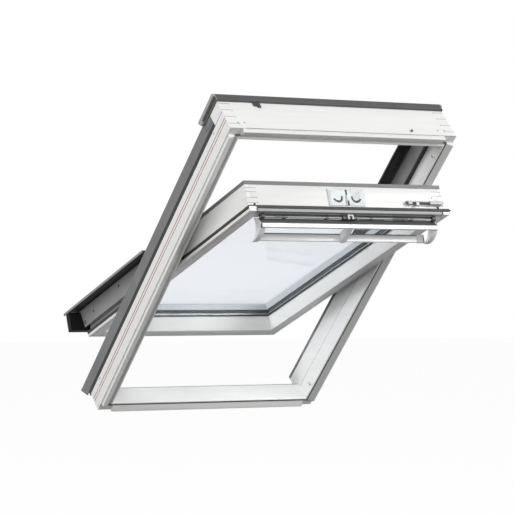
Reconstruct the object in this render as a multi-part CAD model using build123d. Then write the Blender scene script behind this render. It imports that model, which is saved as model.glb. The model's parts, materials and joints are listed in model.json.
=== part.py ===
from build123d import *
import math
import os

# Centre-pivot roof window in its frame, with the sash standing ajar.
# Sizes are in millimetres and angles in degrees. The window is drawn lying flat, with x across it,
# y down the slope, z out through the roof, and z = 0 on the room side of the frame timbers.
# It is then tipped to the roof pitch about the middle of the sill's outer face.
ROOF_PITCH = 45.0
SASH_OPEN = 25.0

# Frame timbers
FRAME_WIDTH = 780.0
FRAME_LENGTH = 1180.0
FRAME_DEPTH = 112.0
FACE_THICK = 36.0          # timber thickness on the room side of the step
BACK_THICK = 30.0          # timber thickness outside the step
STEP_Z = 48.0
SIDE_FACE = 68.0           # bare height of the jamb's outer face
REBATE = 3.0
COMB_LOW = 19.0
COMB_HIGH = 77.0
COMB_TOP = 104.0
SILL_DEPTH = 64.0
SILL_BREAK = 28.0
SILL_EDGE = 28.0           # sill thickness at its outer edge
SILL_COMB = 9.0
LIP_HEIGHT = 15.0
LIP_WIDTH = 22.0
LIP_INSET = 3.0
LIP_SLANT = 10.0           # the lip's room face falls back towards the opening
LIP_JAMB_END = 27.0
LIP_HEAD_END = 42.0
BEAD_HEIGHT = 8.0
BEAD_WIDTH = 4.0
PILOT_R = 2.5
PILOT_DEPTH = 12.0
PILOT_END = 78.0
PILOT_Z = 60.0
HEAD_HOLE_R = 2.5
HEAD_HOLE_DEPTH = 10.0
HEAD_HOLE_Z = 24.0
HEAD_HOLE_END = 34.0
HEAD_HOLE_PITCH = 22.0

# Fittings on the frame timbers
CAP_R = 6.0
CAP_THICK = 2.0
CAP_END = 90.0
CAP_Z = 10.0
STUD_R = 4.0
STUD_LENGTH = 5.0
STUD_END = 155.0           # from the frame's right side
STUD_Z = 15.0
KEEPER_WIDTH = 80.0
KEEPER_HEIGHT = 34.0
KEEPER_THICK = 3.0
KEEPER_DROP = 12.0         # from the timber's outer side to the keeper

# Metal and seals on the frame
SEAL_HEIGHT = 15.0
CLADDING_RISE = 12.0       # how far the cladding stands above the timber
CLADDING_THICK = 3.0
CLADDING_TAIL = 45.0
TAIL_SLANT = 22.0
CASING_NOSE = 7.0
CASING_RISE = 29.0
CASING_CHAMFER = 4.0
CASING_CANOPY = 25.0
CASING_SHEET = 4.0
CLIP_END = 127.0           # from the frame's left side
CLIP_WIDTH = 14.0
CLIP_HEIGHT = 7.0
CLIP_THICK = 3.0
HOOD_LENGTH = 117.0
HOOD_THICK = 8.0
HOOD_STRIP = 13.0          # height of the hood's thick upper strip
HOOD_WEB = 2.5             # thickness of the hood below that strip
HOOK_LENGTH = 12.0         # the strip's turned-down lower end
HOOK_SLANT = 8.0
HOOK_DROP = 9.0
COVER_RISE = 17.0
COVER_REACH = 64.0
COVER_SLOPE = 24.0
COVER_SHEET = 3.0
COVER_LIP = 7.0
COVER_SEAL = 5.0
COVER_SEAL_DROP = 2.0
LINING_THICK = 2.0
GASKET_HEIGHT = 14.0
GASKET_REACH = 13.0        # how far the seal's lip stands in from the timber's room-side face
GASKET_LIP = 5.0
GASKET_BACK = 10.0
SILL_SHEET = 2.0

# Sash timbers, given for the closed sash
SASH_SIDE_GAP = 22.0       # from the sash's sides to the frame's inner faces
SASH_TOP_GAP = 36.0
SASH_LOW_GAP = 24.0
SASH_BODY = 88.0
STILE_FACE = 31.0
RAIL_FACE = 33.0
REVEAL_DEPTH = 50.0
REVEAL_SPLAY = 5.0
GLASS_WALL = 14.0          # timber left outside the glass rebate
FLANGE_THICK = 16.0
FLANGE_SIDE = 6.0
FLANGE_END = 15.0
SEAT_GAP = 3.6             # closed gap from the flange to the frame's step
SASH_COMB_SHARES = (0.36, 0.54, 0.74, 0.89)
SASH_SEAL = 3.0

# Glass unit and its trim
GLASS_CLEAR = 2.0
GLASS_BED = 2.0
PANE_THICK = 4.0
PANE_SPACE = 16.0
SPACER_WIDTH = 12.0
TRIM_RISE = 12.0
TRIM_LAP = 18.0
TRIM_BEVEL = 6.0

# Outer covers and apron of the sash
PLATE_THICK = 3.0
PLATE_START = 45.0
PLATE_TAIL = 50.0
PLATE_HEIGHT = 61.0
PLATE_SLANT = 17.0
WING_START = 60.0
WING_REACH = 37.0
WING_RISE = 8.6
WING_SHEET = 3.0
WING_TAIL = 101.0
WING_RISER = 6.0
WING_GAP = 0.6             # from the wing's lip down to the trim's top
APRON_GAP = 10.0
APRON_THICK = 22.0
APRON_DROP = 60.0
APRON_WING = 37.0
APRON_SHEET = 10.0
SHEET_THICK = 3.0
SHEET_TAIL = 14.0

# Pivot hinges
PIVOT_RISE = 20.0          # from the frame timbers' outer side to the pivot axis
HINGE_HALF = 32.0
HINGE_PLATE = 3.0
HINGE_HEAD = 11.0
HINGE_FOOT_SHARE = 0.5
PIN_R = 5.0
PIN_PLAY = 0.05
PIN_END_GAP = 3.0
BOSS_R = 9.0
BOSS_LENGTH = 9.0
HINGE_MARGIN = 5.0         # room between a hinge plate and the strips beside it

# Lock plate and its latch tongue on the sash head
LOCK_WIDTH = 127.0
LOCK_HEIGHT = 54.0
LOCK_THICK = 3.0
LOCK_CORNER = 5.0
LOCK_Z = 27.5
SLOT_WIDTH = 6.0
SLOT_TOP = 4.0
SLOT_HEIGHT = 32.0
KIDNEY_X = 32.0
KIDNEY_R = 15.0
KIDNEY_WIDTH = 6.0
KIDNEY_TURN = 90.0         # arc of each kidney slot, from straight below its centre
RIVET_R = 2.4
RIVET_RISE = 1.0
RIVET_SHARES = ((0.36, 0.30), (0.42, 0.36), (0.14, 0.40))
TONGUE_PLAY = 0.3
TONGUE_HEIGHT = 14.0
TONGUE_DEPTH = 7.0

# Sliding bolt at the sash head's right end
BOLT_R = 3.5
BOLT_PLAY = 0.08
BOLT_Z = 39.0
BOLT_TRAVEL = 14.0
BOLT_END = 10.0            # from the sash side to the base plate
BOLT_BASE = 2.0
BOLT_BASE_LENGTH = 122.0
BOLT_BASE_WIDTH = 16.0
BOLT_GUIDE = 11.0
BOLT_GUIDE_LONG = 44.0
BOLT_GUIDE_SHORT = 14.0
BOLT_TIP = 4.0
FLAG_LENGTH = 10.0
FLAG_WIDTH = 9.0
FLAG_THICK = 3.0

# Ventilation flap and control bar, closed-sash places measured from the pivot rod of the flap
RAIL_END = 24.0            # white cap at each end of the head rail strip
GRILLE_WIDTH = 24.0
GRILLE_THICK = 4.0
GRILLE_END = 5.0           # from the grille's ends to the rod mounts
GRILLE_MARGIN = 3.0
GRILLE_SLOTS = 6
GRILLE_SLOT_SHARE = 0.74
GRILLE_SLOT_WIDTH = 13.0
ROD_R = 2.2
ROD_PLAY = 0.06
ROD_IN = 6.0
ROD_DROP = 8.0
ROD_END = 3.0              # from the rod's ends to the flap's ends
MOUNT_R = 7.0
MOUNT_WIDTH = 11.0
FLAP_LEAN = 18.0
FLAP_HEIGHT = 34.0
FLAP_SHARES = ((-0.53, -0.04), (0.22, -0.59), (0.44, -0.68), (0.44, -1.0), (-0.11, -1.0),
               (-0.11, -0.68), (-0.83, -0.14))
LUG_WIDTH = 10.0
LUG_SHARES = (-0.72, -0.25, 0.25, 0.72)
LUG_GAP = 0.5              # from the flap's lugs to the grille
CATCH_WIDTH = 20.0
CATCH_LEG = 5.0
CATCH_HEIGHT = 15.0
CATCH_THICK = 4.0
HANDLE_END = 50.0          # from the sash's sides to the handle bar's ends
HANDLE_WIDTH = 24.0
HANDLE_THICK = 7.0
HANDLE_TILT = 84.0
HANDLE_BACK = 52.5         # from the pivot rod down the slope to the handle's near edge
HANDLE_LOW = 28.2          # from the pivot rod down to the handle's near edge
BRACKET_WIDTH = 18.0
BRACKET_WALL = 3.0         # end bracket's wall outside the flap's end
BRACKET_RIM = 3.0
BRACKET_BACK = 28.0        # from the pivot rod down the slope to the end bracket's back corner
BRACKET_GAP = 1.5          # from the end bracket to the sash head
BRACKET_HOLLOW_R = 44.0
BRACKET_BELLY_R = 60.0
CENTRE_BRACKET = 16.0

half_width = FRAME_WIDTH / 2
half_length = FRAME_LENGTH / 2
face_x = half_width - FACE_THICK
back_x = half_width - BACK_THICK
face_y = half_length - FACE_THICK
back_y = half_length - BACK_THICK
cladding_low = SIDE_FACE + SEAL_HEIGHT
cladding_top = FRAME_DEPTH + CLADDING_RISE
cover_top = cladding_top + COVER_RISE
casing_top = FRAME_DEPTH + CASING_RISE
canopy_y = back_y - CASING_CANOPY
sash_x = back_x - SASH_SIDE_GAP
sash_top_y = SASH_TOP_GAP - back_y
sash_low_y = back_y - SASH_LOW_GAP
sash_z = STEP_Z - SEAT_GAP - FLANGE_THICK
flange_top = sash_z + FLANGE_THICK
flange_x = sash_x + FLANGE_SIDE
flange_top_y = sash_top_y - FLANGE_END
flange_low_y = sash_low_y + FLANGE_END
rebate_z = sash_z + REVEAL_DEPTH
sash_end_z = sash_z + SASH_BODY
glass_x = sash_x - GLASS_WALL
glass_top_y = sash_top_y + GLASS_WALL
glass_low_y = sash_low_y - GLASS_WALL
pane_z = rebate_z + GLASS_BED
unit_top = pane_z + PANE_THICK + PANE_SPACE + PANE_THICK
trim_top = sash_end_z + TRIM_RISE
pivot_z = FRAME_DEPTH + PIVOT_RISE
hinge_edge = HINGE_HALF + HINGE_MARGIN
rod_y = sash_top_y + ROD_IN
rod_z = sash_z - ROD_DROP
handle_half = sash_x - HANDLE_END
flap_half = handle_half + BRACKET_WIDTH - BRACKET_WALL
rod_half = flap_half - ROD_END
grille_half = rod_half - MOUNT_WIDTH - GRILLE_END
nodes = {}


def box(x0, x1, y0, y1, z0, z1):
    return Pos((x0 + x1) / 2, (y0 + y1) / 2, (z0 + z1) / 2) * Box(x1 - x0, y1 - y0, z1 - z0)


def along_x(outline, x0, x1):
    face = Plane.YZ * make_face(Polyline(*outline, close=True))
    return Pos(x0, 0, 0) * extrude(face, x1 - x0, dir=(1, 0, 0))


def along_y(outline, y0, y1):
    face = Plane.XZ * make_face(Polyline(*outline, close=True))
    return Pos(0, y0, 0) * extrude(face, y1 - y0, dir=(0, 1, 0))


def rod_x(radius, x0, x1, y, z):
    return Pos((x0 + x1) / 2, y, z) * Rot(0, 90, 0) * Cylinder(radius, x1 - x0)


def rod_y_axis(radius, x, y0, y1, z):
    return Pos(x, (y0 + y1) / 2, z) * Rot(90, 0, 0) * Cylinder(radius, y1 - y0)


def tip(shape):
    return Rot(-ROOF_PITCH, 0, 0) * Pos(0, -half_length, -SILL_DEPTH / 2) * shape


def swing(shape):
    return Pos(0, 0, pivot_z) * Rot(SASH_OPEN, 0, 0) * Pos(0, 0, -pivot_z) * shape


def frame_node(name, shape):
    nodes[name] = tip(shape)


def sash_node(name, shape):
    nodes[name] = tip(swing(shape))


def pair(place, name, right):
    place(name + "_right", right)
    place(name + "_left", mirror(right, about=Plane.YZ))


def both(place, name, *rights):
    lefts = [mirror(right, about=Plane.YZ) for right in rights]
    place(name, Compound(children=[*rights, *lefts]))


# Shares a corner between two crossing timbers, layer by layer, like the fingers of a comb joint
def comb(first, second, heights):
    for i, (low, high) in enumerate(zip(heights, heights[1:])):
        slab = box(-FRAME_WIDTH, FRAME_WIDTH, -FRAME_LENGTH, FRAME_LENGTH, low, high)
        if i % 2:
            first -= second & slab
        else:
            second -= first & slab
    return first, second


# Frame timbers: jambs run the full length, the head and the sill the full width
frame_section = (
    (0, 0), (0, FRAME_DEPTH), (BACK_THICK, FRAME_DEPTH), (BACK_THICK, STEP_Z), (FACE_THICK, STEP_Z),
    (FACE_THICK, 0))
sill_section = ((0, 0), (0, SILL_DEPTH), (SILL_EDGE, SILL_DEPTH), (FACE_THICK, SILL_BREAK), (FACE_THICK, 0))
lip_inner = LIP_INSET + LIP_WIDTH
lip_section = ((LIP_INSET, 0), (LIP_INSET, -LIP_HEIGHT), (lip_inner, LIP_SLANT - LIP_HEIGHT), (lip_inner, 0))
bead_edges = (FACE_THICK - BEAD_WIDTH, FACE_THICK)


def right_jamb():
    body = along_y([(half_width - d, z) for d, z in frame_section], -half_length, half_length)
    lip_y = half_length - LIP_JAMB_END
    body += along_y([(half_width - d, z) for d, z in lip_section], -lip_y, lip_y)
    bead_y = half_length - bead_edges[0]
    body += box(half_width - bead_edges[1], half_width - bead_edges[0], -bead_y, bead_y, -BEAD_HEIGHT, 0)
    body -= box(half_width - REBATE, half_width, -canopy_y, half_length, SIDE_FACE, FRAME_DEPTH)
    for y in (PILOT_END - half_length, half_length - PILOT_END):
        body -= rod_x(PILOT_R, half_width - PILOT_DEPTH, half_width, y, PILOT_Z)
    return body


def cross_timber(section, end):
    body = along_x([(end * (half_length - d), z) for d, z in section], -half_width, half_width)
    lip_x = half_width - LIP_HEAD_END
    bead_y = sorted(end * (half_length - edge) for edge in bead_edges)
    body += along_x([(end * (half_length - d), z) for d, z in lip_section], -lip_x, lip_x)
    body += box(-face_x, face_x, *bead_y, -BEAD_HEIGHT, 0)
    return body


head_heights = (-LIP_HEIGHT, COMB_LOW, STEP_Z, COMB_HIGH, COMB_TOP, FRAME_DEPTH)
sill_heights = (-LIP_HEIGHT, SILL_COMB, SILL_BREAK, SILL_DEPTH)
frame_head = cross_timber(frame_section, -1)
frame_sill = cross_timber(sill_section, 1)
jamb = right_jamb()
for name, frame_jamb in (("right", jamb), ("left", mirror(jamb, about=Plane.YZ))):
    frame_jamb, frame_head = comb(frame_jamb, frame_head, head_heights)
    frame_jamb, frame_sill = comb(frame_jamb, frame_sill, sill_heights)
    frame_node("frame_jamb_" + name, frame_jamb)
for end in (HEAD_HOLE_END, HEAD_HOLE_END + HEAD_HOLE_PITCH):
    for x in (end - half_width, half_width - end):
        frame_head -= rod_y_axis(HEAD_HOLE_R, x, -half_length, HEAD_HOLE_DEPTH - half_length, HEAD_HOLE_Z)
frame_node("frame_head", frame_head)
frame_node("frame_sill", frame_sill)

# Fittings on the frame timbers
cap_places = (CAP_END - half_length, half_length - CAP_END)
both(frame_node, "jamb_caps", *[rod_x(CAP_R, face_x - CAP_THICK, face_x, y, CAP_Z) for y in cap_places])
frame_node("head_stud", rod_y_axis(STUD_R, half_width - STUD_END, -half_length - STUD_LENGTH, -half_length,
                                   STUD_Z))
keeper_top = FRAME_DEPTH - KEEPER_DROP
frame_node("keeper_plate", box(-KEEPER_WIDTH / 2, KEEPER_WIDTH / 2, -back_y, KEEPER_THICK - back_y,
                               keeper_top - KEEPER_HEIGHT, keeper_top))

# Seal strip, channel cladding and upper covers along each jamb
pair(frame_node, "jamb_seal", box(half_width - REBATE, half_width, -canopy_y, half_length,
                                  SIDE_FACE, cladding_low))


def jamb_cladding():
    inside = back_x + CLADDING_THICK
    outside = half_width - CLADDING_THICK
    channel = (
        (half_width, cladding_low), (half_width, cladding_top), (back_x, cladding_top), (back_x, FRAME_DEPTH),
        (inside, FRAME_DEPTH), (inside, cladding_top - CLADDING_THICK),
        (outside, cladding_top - CLADDING_THICK), (outside, cladding_low))
    body = along_y(channel, -canopy_y, half_length)
    tail = ((half_length, cladding_low), (half_length, cladding_top),
            (half_length + CLADDING_TAIL, cladding_top),
            (half_length + CLADDING_TAIL - TAIL_SLANT, cladding_low))
    return body + along_x(tail, outside, half_width)


def upper_cover():
    slope = COVER_SHEET * math.hypot(COVER_SLOPE, COVER_RISE) / COVER_RISE
    top_x = half_width - COVER_SLOPE
    edge_x = half_width - COVER_REACH
    under = cover_top - COVER_SHEET
    inner_top_x = top_x + COVER_SLOPE * COVER_SHEET / COVER_RISE - slope
    outline = (
        (half_width, cladding_top), (top_x, cover_top), (edge_x, cover_top), (edge_x, cover_top - COVER_LIP),
        (edge_x + COVER_SHEET, cover_top - COVER_LIP), (edge_x + COVER_SHEET, under), (inner_top_x, under),
        (half_width - slope, cladding_top))
    return along_y(outline, -canopy_y, -hinge_edge)


pair(frame_node, "jamb_cladding", jamb_cladding())
pair(frame_node, "upper_cover", upper_cover())
cover_edge_x = half_width - COVER_REACH
both(frame_node, "upper_cover_seals", box(
    cover_edge_x - COVER_SEAL, cover_edge_x, -canopy_y, -hinge_edge,
    cover_top - COVER_LIP - COVER_SEAL_DROP, cover_top - COVER_SHEET))
pair(frame_node, "upper_lining", box(
    back_x - LINING_THICK, back_x, -back_y, -hinge_edge, STEP_Z + GASKET_HEIGHT, cladding_top))


# Casing over the head and the hoods that close its ends
def casing():
    nose = -half_length - CASING_NOSE
    canopy_low = casing_top - CASING_SHEET
    outline = (
        (-half_length, FRAME_DEPTH), (nose, FRAME_DEPTH + CASING_CHAMFER),
        (nose, casing_top - CASING_CHAMFER), (nose + CASING_CHAMFER, casing_top), (-canopy_y, casing_top),
        (-canopy_y, canopy_low), (-back_y, canopy_low), (-back_y, FRAME_DEPTH))
    return along_x(outline, -half_width, half_width)


def hood():
    nose = -half_length - CASING_NOSE
    tail = HOOD_LENGTH + nose
    strip_low = casing_top - HOOD_STRIP
    hook_low = strip_low - HOOK_DROP
    hook_y = tail - HOOK_SLANT - HOOK_LENGTH
    strip = (
        (nose, strip_low), (nose, casing_top - CASING_CHAMFER), (nose + CASING_CHAMFER, casing_top),
        (tail - CASING_CHAMFER, casing_top), (tail, casing_top - CASING_CHAMFER),
        (tail - HOOK_SLANT, hook_low), (hook_y, hook_low), (hook_y, strip_low))
    web = box(half_width, half_width + HOOD_WEB, nose, hook_y, FRAME_DEPTH, strip_low)
    return along_x(strip, half_width, half_width + HOOD_THICK) + web


frame_node("head_casing", casing())
pair(frame_node, "head_hood", hood())
clip_x = CLIP_END - half_width
frame_node("casing_clip", box(
    clip_x - CLIP_WIDTH / 2, clip_x + CLIP_WIDTH / 2, -half_length - CLIP_THICK, -half_length,
    FRAME_DEPTH - CLIP_HEIGHT, FRAME_DEPTH))
frame_node("sill_sheet", box(
    -back_x, back_x, half_length - SILL_EDGE, half_length, SILL_DEPTH, SILL_DEPTH + SILL_SHEET))


# One bent seal round the head and the upper jambs, lapping the closed sash's flange
def frame_gasket():
    section = ((0, 0), (BACK_THICK - FACE_THICK - GASKET_REACH, 0),
               (BACK_THICK - FACE_THICK - GASKET_REACH, GASKET_LIP),
               (-GASKET_BACK, GASKET_LIP), (-GASKET_BACK, GASKET_HEIGHT), (0, GASKET_HEIGHT))
    right = along_y([(back_x + d, STEP_Z + z) for d, z in section], -back_y, -hinge_edge)
    top = along_x([(-back_y - d, STEP_Z + z) for d, z in section], -back_x, back_x)
    return right + top + mirror(right, about=Plane.YZ)


frame_node("frame_gasket", frame_gasket())

# Pivot hinges: a frame plate with a bored boss, and a sash plate with the pin
hinge_low = pivot_z - HINGE_FOOT_SHARE * (pivot_z - STEP_Z)
boss_x = back_x - HINGE_PLATE - BOSS_LENGTH
frame_hinge = box(back_x - HINGE_PLATE, back_x, -HINGE_HALF, HINGE_HALF, hinge_low, pivot_z + HINGE_HEAD)
frame_hinge += rod_x(BOSS_R, boss_x, back_x - HINGE_PLATE, 0, pivot_z)
frame_hinge -= rod_x(PIN_R + PIN_PLAY, boss_x, back_x, 0, pivot_z)
pair(frame_node, "frame_hinge", frame_hinge)
sash_hinge = box(sash_x, sash_x + HINGE_PLATE, -HINGE_HALF, HINGE_HALF, hinge_low, pivot_z + HINGE_HEAD)
sash_hinge += rod_x(PIN_R, sash_x + HINGE_PLATE, back_x - PIN_END_GAP, 0, pivot_z)
pair(sash_node, "sash_hinge", sash_hinge)


# Sash timbers, comb jointed at the corners like the frame
def sash_section(face):
    return (
        (0, 0), (0, SASH_BODY), (GLASS_WALL, SASH_BODY), (GLASS_WALL, REVEAL_DEPTH),
        (face + REVEAL_SPLAY, REVEAL_DEPTH), (face, 0))


def right_stile():
    outline = [(sash_x - d, sash_z + z) for d, z in sash_section(STILE_FACE)]
    body = along_y(outline, sash_top_y, sash_low_y)
    return body + box(sash_x, flange_x, sash_top_y, flange_low_y, sash_z, flange_top)


def sash_rail(outer_y, inward):
    outline = [(outer_y + inward * d, sash_z + z) for d, z in sash_section(RAIL_FACE)]
    return along_x(outline, -sash_x, sash_x)


sash_heights = [sash_z] + [sash_z + share * SASH_BODY for share in SASH_COMB_SHARES] + [sash_end_z]
sash_head = sash_rail(sash_top_y, 1)
bottom_rail = sash_rail(sash_low_y, -1)
bottom_rail += box(-flange_x, flange_x, sash_low_y, flange_low_y, sash_z, flange_top)
stile = right_stile()
for name, sash_stile in (("right", stile), ("left", mirror(stile, about=Plane.YZ))):
    sash_stile, sash_head = comb(sash_stile, sash_head, sash_heights)
    sash_stile, bottom_rail = comb(sash_stile, bottom_rail, sash_heights)
    sash_node("sash_stile_" + name, sash_stile)
sash_node("sash_head", sash_head)
sash_node("sash_bottom_rail", bottom_rail)

# Sealed glass unit on its bed
pane_x = glass_x - GLASS_CLEAR
pane_top_y = glass_top_y + GLASS_CLEAR
pane_low_y = glass_low_y - GLASS_CLEAR
sight_x = sash_x - STILE_FACE - REVEAL_SPLAY
sight_top_y = sash_top_y + RAIL_FACE + REVEAL_SPLAY
sight_low_y = sash_low_y - RAIL_FACE - REVEAL_SPLAY
outer_pane_z = pane_z + PANE_THICK + PANE_SPACE
bed = box(-pane_x, pane_x, pane_top_y, pane_low_y, rebate_z, pane_z)
bed -= box(-sight_x, sight_x, sight_top_y, sight_low_y, rebate_z, pane_z)
spacer = box(-pane_x, pane_x, pane_top_y, pane_low_y, pane_z + PANE_THICK, outer_pane_z)
spacer_hole_x = pane_x - SPACER_WIDTH
spacer -= box(-spacer_hole_x, spacer_hole_x, pane_top_y + SPACER_WIDTH, pane_low_y - SPACER_WIDTH,
              pane_z + PANE_THICK, outer_pane_z)
sash_node("glazing_bed", bed)
sash_node("inner_pane", box(-pane_x, pane_x, pane_top_y, pane_low_y, pane_z, pane_z + PANE_THICK))
sash_node("spacer_bar", spacer)
sash_node("outer_pane", box(-pane_x, pane_x, pane_top_y, pane_low_y, outer_pane_z, unit_top))


# Outer trim that holds the glass, the side trims standing between the end trims
def trim_section():
    return (
        (GLASS_WALL + TRIM_LAP, unit_top), (GLASS_WALL, unit_top), (GLASS_WALL, sash_end_z), (0, sash_end_z),
        (0, trim_top), (GLASS_WALL + TRIM_LAP - TRIM_BEVEL, trim_top),
        (GLASS_WALL + TRIM_LAP, trim_top - TRIM_BEVEL))


trim_deep = GLASS_WALL + TRIM_LAP
pair(sash_node, "side_trim", along_y([(sash_x - d, z) for d, z in trim_section()],
                                     sash_top_y + trim_deep, sash_low_y - trim_deep))
head_trim = along_x([(sash_top_y + d, z) for d, z in trim_section()], -glass_x, glass_x)
low_trim = along_x([(sash_low_y - d, z) for d, z in trim_section()], -glass_x, glass_x)
for side in (-1, 1):
    ends = sorted((side * glass_x, side * sash_x))
    head_trim += box(*ends, sash_top_y, sash_top_y + trim_deep, sash_end_z, trim_top)
    low_trim += box(*ends, sash_low_y - trim_deep, sash_low_y, sash_end_z, trim_top)
sash_node("head_trim", head_trim)
sash_node("bottom_trim", low_trim)

# Seal ring on the outside of the flange
seal_top = flange_top + SASH_SEAL
seal_ring = box(-flange_x, flange_x, flange_top_y, flange_low_y, flange_top, seal_top)
seal_ring -= box(-sash_x, sash_x, sash_top_y, sash_low_y, flange_top, seal_top)
sash_node("sash_seal", seal_ring)


# Side plates, overhanging wings, apron and sheet on the lower half of the sash
plate_low = trim_top - PLATE_HEIGHT
plate_end = sash_low_y + PLATE_TAIL
plate_outline = ((PLATE_START, plate_low), (PLATE_START, trim_top), (plate_end, trim_top),
                 (plate_end - PLATE_SLANT, plate_low))
pair(sash_node, "side_plate", along_x(plate_outline, sash_x, sash_x + PLATE_THICK))
wing_x = sash_x + WING_REACH
wing_top = trim_top + WING_RISE
riser_x = sash_x - WING_RISER
wing_outline = (
    (riser_x - WING_RISER, trim_top), (riser_x - WING_RISER, wing_top), (wing_x, wing_top),
    (wing_x, trim_top + WING_GAP), (wing_x - WING_SHEET, trim_top + WING_GAP),
    (wing_x - WING_SHEET, wing_top - WING_SHEET), (riser_x, wing_top - WING_SHEET), (riser_x, trim_top))
pair(sash_node, "side_wing", along_y(wing_outline, WING_START, sash_low_y + WING_TAIL))
apron_y = half_length + APRON_GAP
apron = box(-sash_x - APRON_WING, sash_x + APRON_WING, apron_y, apron_y + APRON_THICK,
            trim_top - APRON_DROP, trim_top)
apron += box(-sash_x, sash_x, sash_low_y, apron_y, trim_top - APRON_SHEET, trim_top)
sash_node("bottom_apron", apron)
sheet_x = riser_x - WING_RISER
sash_node("bottom_sheet", box(-sheet_x, sheet_x, sash_low_y - GLASS_WALL, apron_y + APRON_THICK + SHEET_TAIL,
                              trim_top, trim_top + SHEET_THICK))


# Lock plate with its slots and rivets, and the tongue that rises in the middle slot
def lock_plate():
    low = sash_z + LOCK_Z
    middle = low + LOCK_HEIGHT / 2
    face = RectangleRounded(LOCK_WIDTH, LOCK_HEIGHT, LOCK_CORNER)
    face -= Pos(0, LOCK_HEIGHT / 2 - SLOT_TOP - SLOT_HEIGHT / 2) * Rectangle(SLOT_WIDTH, SLOT_HEIGHT)
    for side in (-1, 1):
        arc = CenterArc((0, 0), KIDNEY_R, -90, -side * KIDNEY_TURN)
        face -= Pos(side * KIDNEY_X, 0) * SlotArc(arc, KIDNEY_WIDTH)
    seat = Plane(origin=(0, sash_top_y, middle), x_dir=(1, 0, 0), z_dir=(0, -1, 0))
    body = extrude(seat * face, LOCK_THICK)
    for share_x, share_z in RIVET_SHARES:
        for side in (-1, 1):
            for level in (-1, 1):
                body += rod_y_axis(RIVET_R, side * share_x * LOCK_WIDTH, sash_top_y - LOCK_THICK - RIVET_RISE,
                                   sash_top_y - LOCK_THICK, middle + level * share_z * LOCK_HEIGHT)
    return body


slot_low = sash_z + LOCK_Z + LOCK_HEIGHT - SLOT_TOP - SLOT_HEIGHT
tongue_x = SLOT_WIDTH / 2 - TONGUE_PLAY
sash_node("lock_plate", lock_plate())
sash_node("latch_tongue", box(
    -tongue_x, tongue_x, sash_top_y - TONGUE_DEPTH, sash_top_y - TONGUE_PLAY,
    slot_low + TONGUE_PLAY, slot_low + TONGUE_PLAY + TONGUE_HEIGHT))

# Sliding bolt: a base with two bored guides, and a rod with a flag handle between them
bolt_z = sash_z + BOLT_Z
bolt_y = sash_top_y - BOLT_BASE - BOLT_GUIDE / 2
base_right = sash_x - BOLT_END
base_left = base_right - BOLT_BASE_LENGTH
housing = box(base_left, base_right, sash_top_y - BOLT_BASE, sash_top_y,
              bolt_z - BOLT_BASE_WIDTH / 2, bolt_z + BOLT_BASE_WIDTH / 2)
guides = ((base_right - BOLT_GUIDE_LONG, base_right), (base_left, base_left + BOLT_GUIDE_SHORT))
for x0, x1 in guides:
    housing += box(x0, x1, sash_top_y - BOLT_BASE - BOLT_GUIDE, sash_top_y - BOLT_BASE,
                   bolt_z - BOLT_GUIDE / 2, bolt_z + BOLT_GUIDE / 2)
    housing -= rod_x(BOLT_R + BOLT_PLAY, x0, x1, bolt_y, bolt_z)
sash_node("bolt_housing", housing)
flag_x = base_left + BOLT_GUIDE_SHORT + BOLT_TRAVEL
bolt = rod_x(BOLT_R, base_left - BOLT_TIP, base_right + BOLT_TIP, bolt_y, bolt_z)
bolt += box(flag_x, flag_x + FLAG_WIDTH, bolt_y - BOLT_R - FLAG_THICK, bolt_y,
            bolt_z - FLAG_LENGTH, bolt_z)
sash_node("bolt_rod", bolt)

# Head rail strip with its end caps, the slotted grille behind it and the catch over the rod
rail_x = flange_x - RAIL_END
sash_node("head_strip", box(-rail_x, rail_x, flange_top_y, sash_top_y, sash_z, flange_top))
both(sash_node, "strip_caps", box(rail_x, flange_x, flange_top_y, sash_top_y, sash_z, flange_top))
grille_y = sash_top_y + GRILLE_MARGIN
grille = box(-grille_half, grille_half, grille_y, grille_y + GRILLE_WIDTH, sash_z - GRILLE_THICK, sash_z)
slot_pitch = 2 * grille_half / GRILLE_SLOTS
slot_mid_y = grille_y + GRILLE_WIDTH / 2
for i in range(GRILLE_SLOTS):
    slot_x = (i + 0.5) * slot_pitch - grille_half
    slot_half = GRILLE_SLOT_SHARE * slot_pitch / 2
    grille -= box(slot_x - slot_half, slot_x + slot_half, slot_mid_y - GRILLE_SLOT_WIDTH / 2,
                  slot_mid_y + GRILLE_SLOT_WIDTH / 2, sash_z - GRILLE_THICK, sash_z - GRILLE_THICK / 2)
sash_node("vent_grille", grille)
catch = box(-CATCH_WIDTH / 2, CATCH_WIDTH / 2, sash_top_y - CATCH_THICK, sash_top_y,
            sash_z - CATCH_HEIGHT, sash_z)
catch -= box(CATCH_LEG - CATCH_WIDTH / 2, CATCH_WIDTH / 2 - CATCH_LEG, sash_top_y - CATCH_THICK, sash_top_y,
             sash_z - CATCH_HEIGHT, sash_z - CATCH_LEG)
sash_node("centre_catch", catch)

# Ventilation flap on its pivot rod, carried in a mount at each end
mount = rod_x(MOUNT_R, rod_half - MOUNT_WIDTH, rod_half, rod_y, rod_z)
mount += box(rod_half - MOUNT_WIDTH, rod_half, rod_y - MOUNT_R, rod_y + MOUNT_R, rod_z, sash_z)
mount -= box(rod_half - MOUNT_WIDTH, rod_half, rod_y - MOUNT_R, sash_top_y, sash_z, sash_z + ROD_DROP)
mount -= rod_x(ROD_R + ROD_PLAY, rod_half - MOUNT_WIDTH, rod_half, rod_y, rod_z)
both(sash_node, "flap_mounts", mount)
sash_node("flap_rod", rod_x(ROD_R, -rod_half, rod_half, rod_y, rod_z))


def flap_point(share):
    return rod_y - share[0] * FLAP_LEAN, rod_z + share[1] * FLAP_HEIGHT


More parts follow.
